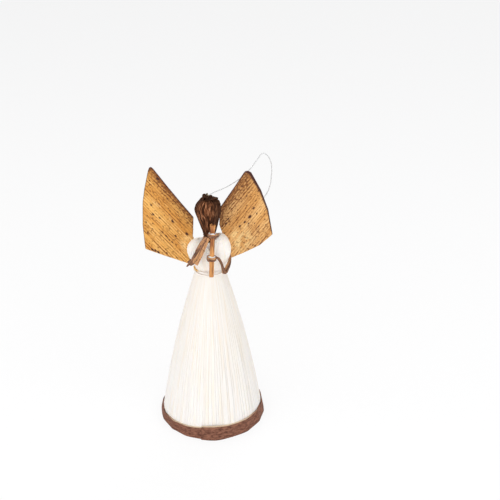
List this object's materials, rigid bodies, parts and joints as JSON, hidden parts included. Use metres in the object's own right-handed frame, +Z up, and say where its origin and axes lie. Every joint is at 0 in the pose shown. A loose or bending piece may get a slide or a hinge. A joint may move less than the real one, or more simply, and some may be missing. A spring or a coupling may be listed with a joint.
{
  "type": "raffia angel ornament",
  "caption": "Hanging angel of raffia over a card cone, with a bark-wrapped head, folded leaf-strip arms that hold a pipe, cut leaf wings and a nylon loop that swings at the crown.",
  "frame": {"origin": "middle of the hem, on the table", "axes": "+Z up from the hem to the head, the figure looks along -Y, its wings spread along X"},
  "size_m": [0.054, 0.0458, 0.1163],
  "materials": {
    "card": "plain rolled card",
    "raffia": "bleached raffia strips, fibres along the length",
    "bark_band": "dark bark strip, mottled red-brown",
    "straw": "straw strand",
    "ball": "plain turned ball",
    "bark": "dark fibrous bark with paler streaks",
    "pipe_leaf": "rolled tan leaf strip",
    "arm_leaf": "brown leaf strip with dark specks",
    "glue": "milky dried glue",
    "wing_leaf": "stiff golden leaf with dark speckles along the grain",
    "nylon": "clear nylon thread"
  },
  "bodies": {
    "angel": {"card_cone": "card", "raffia_skirt": "raffia", "hem_band": "bark_band", "waist_tie": "straw", "left_puff": "raffia", "right_puff": "raffia", "head_ball": "ball", "head_wrap": "bark", "crown_tuft": "bark", "neck_tie": "straw", "pipe": "pipe_leaf", "left_arm": "arm_leaf", "right_arm": "arm_leaf", "left_hand": "arm_leaf", "right_hand": "arm_leaf", "hand_glue": "glue", "left_wing": "wing_leaf", "right_wing": "wing_leaf"},
    "hanging_loop": {"thread_knot": "nylon", "hanging_thread": "nylon"}
  },
  "joints": [
    {"name": "loop_swing", "type": "hinge", "parent": "angel", "child": "hanging_loop", "pos_m": [-0.0009, 0.005, 0.10405], "axis": [0.5299, -0.848, 0], "range_deg": [0, 60]}
  ]
}
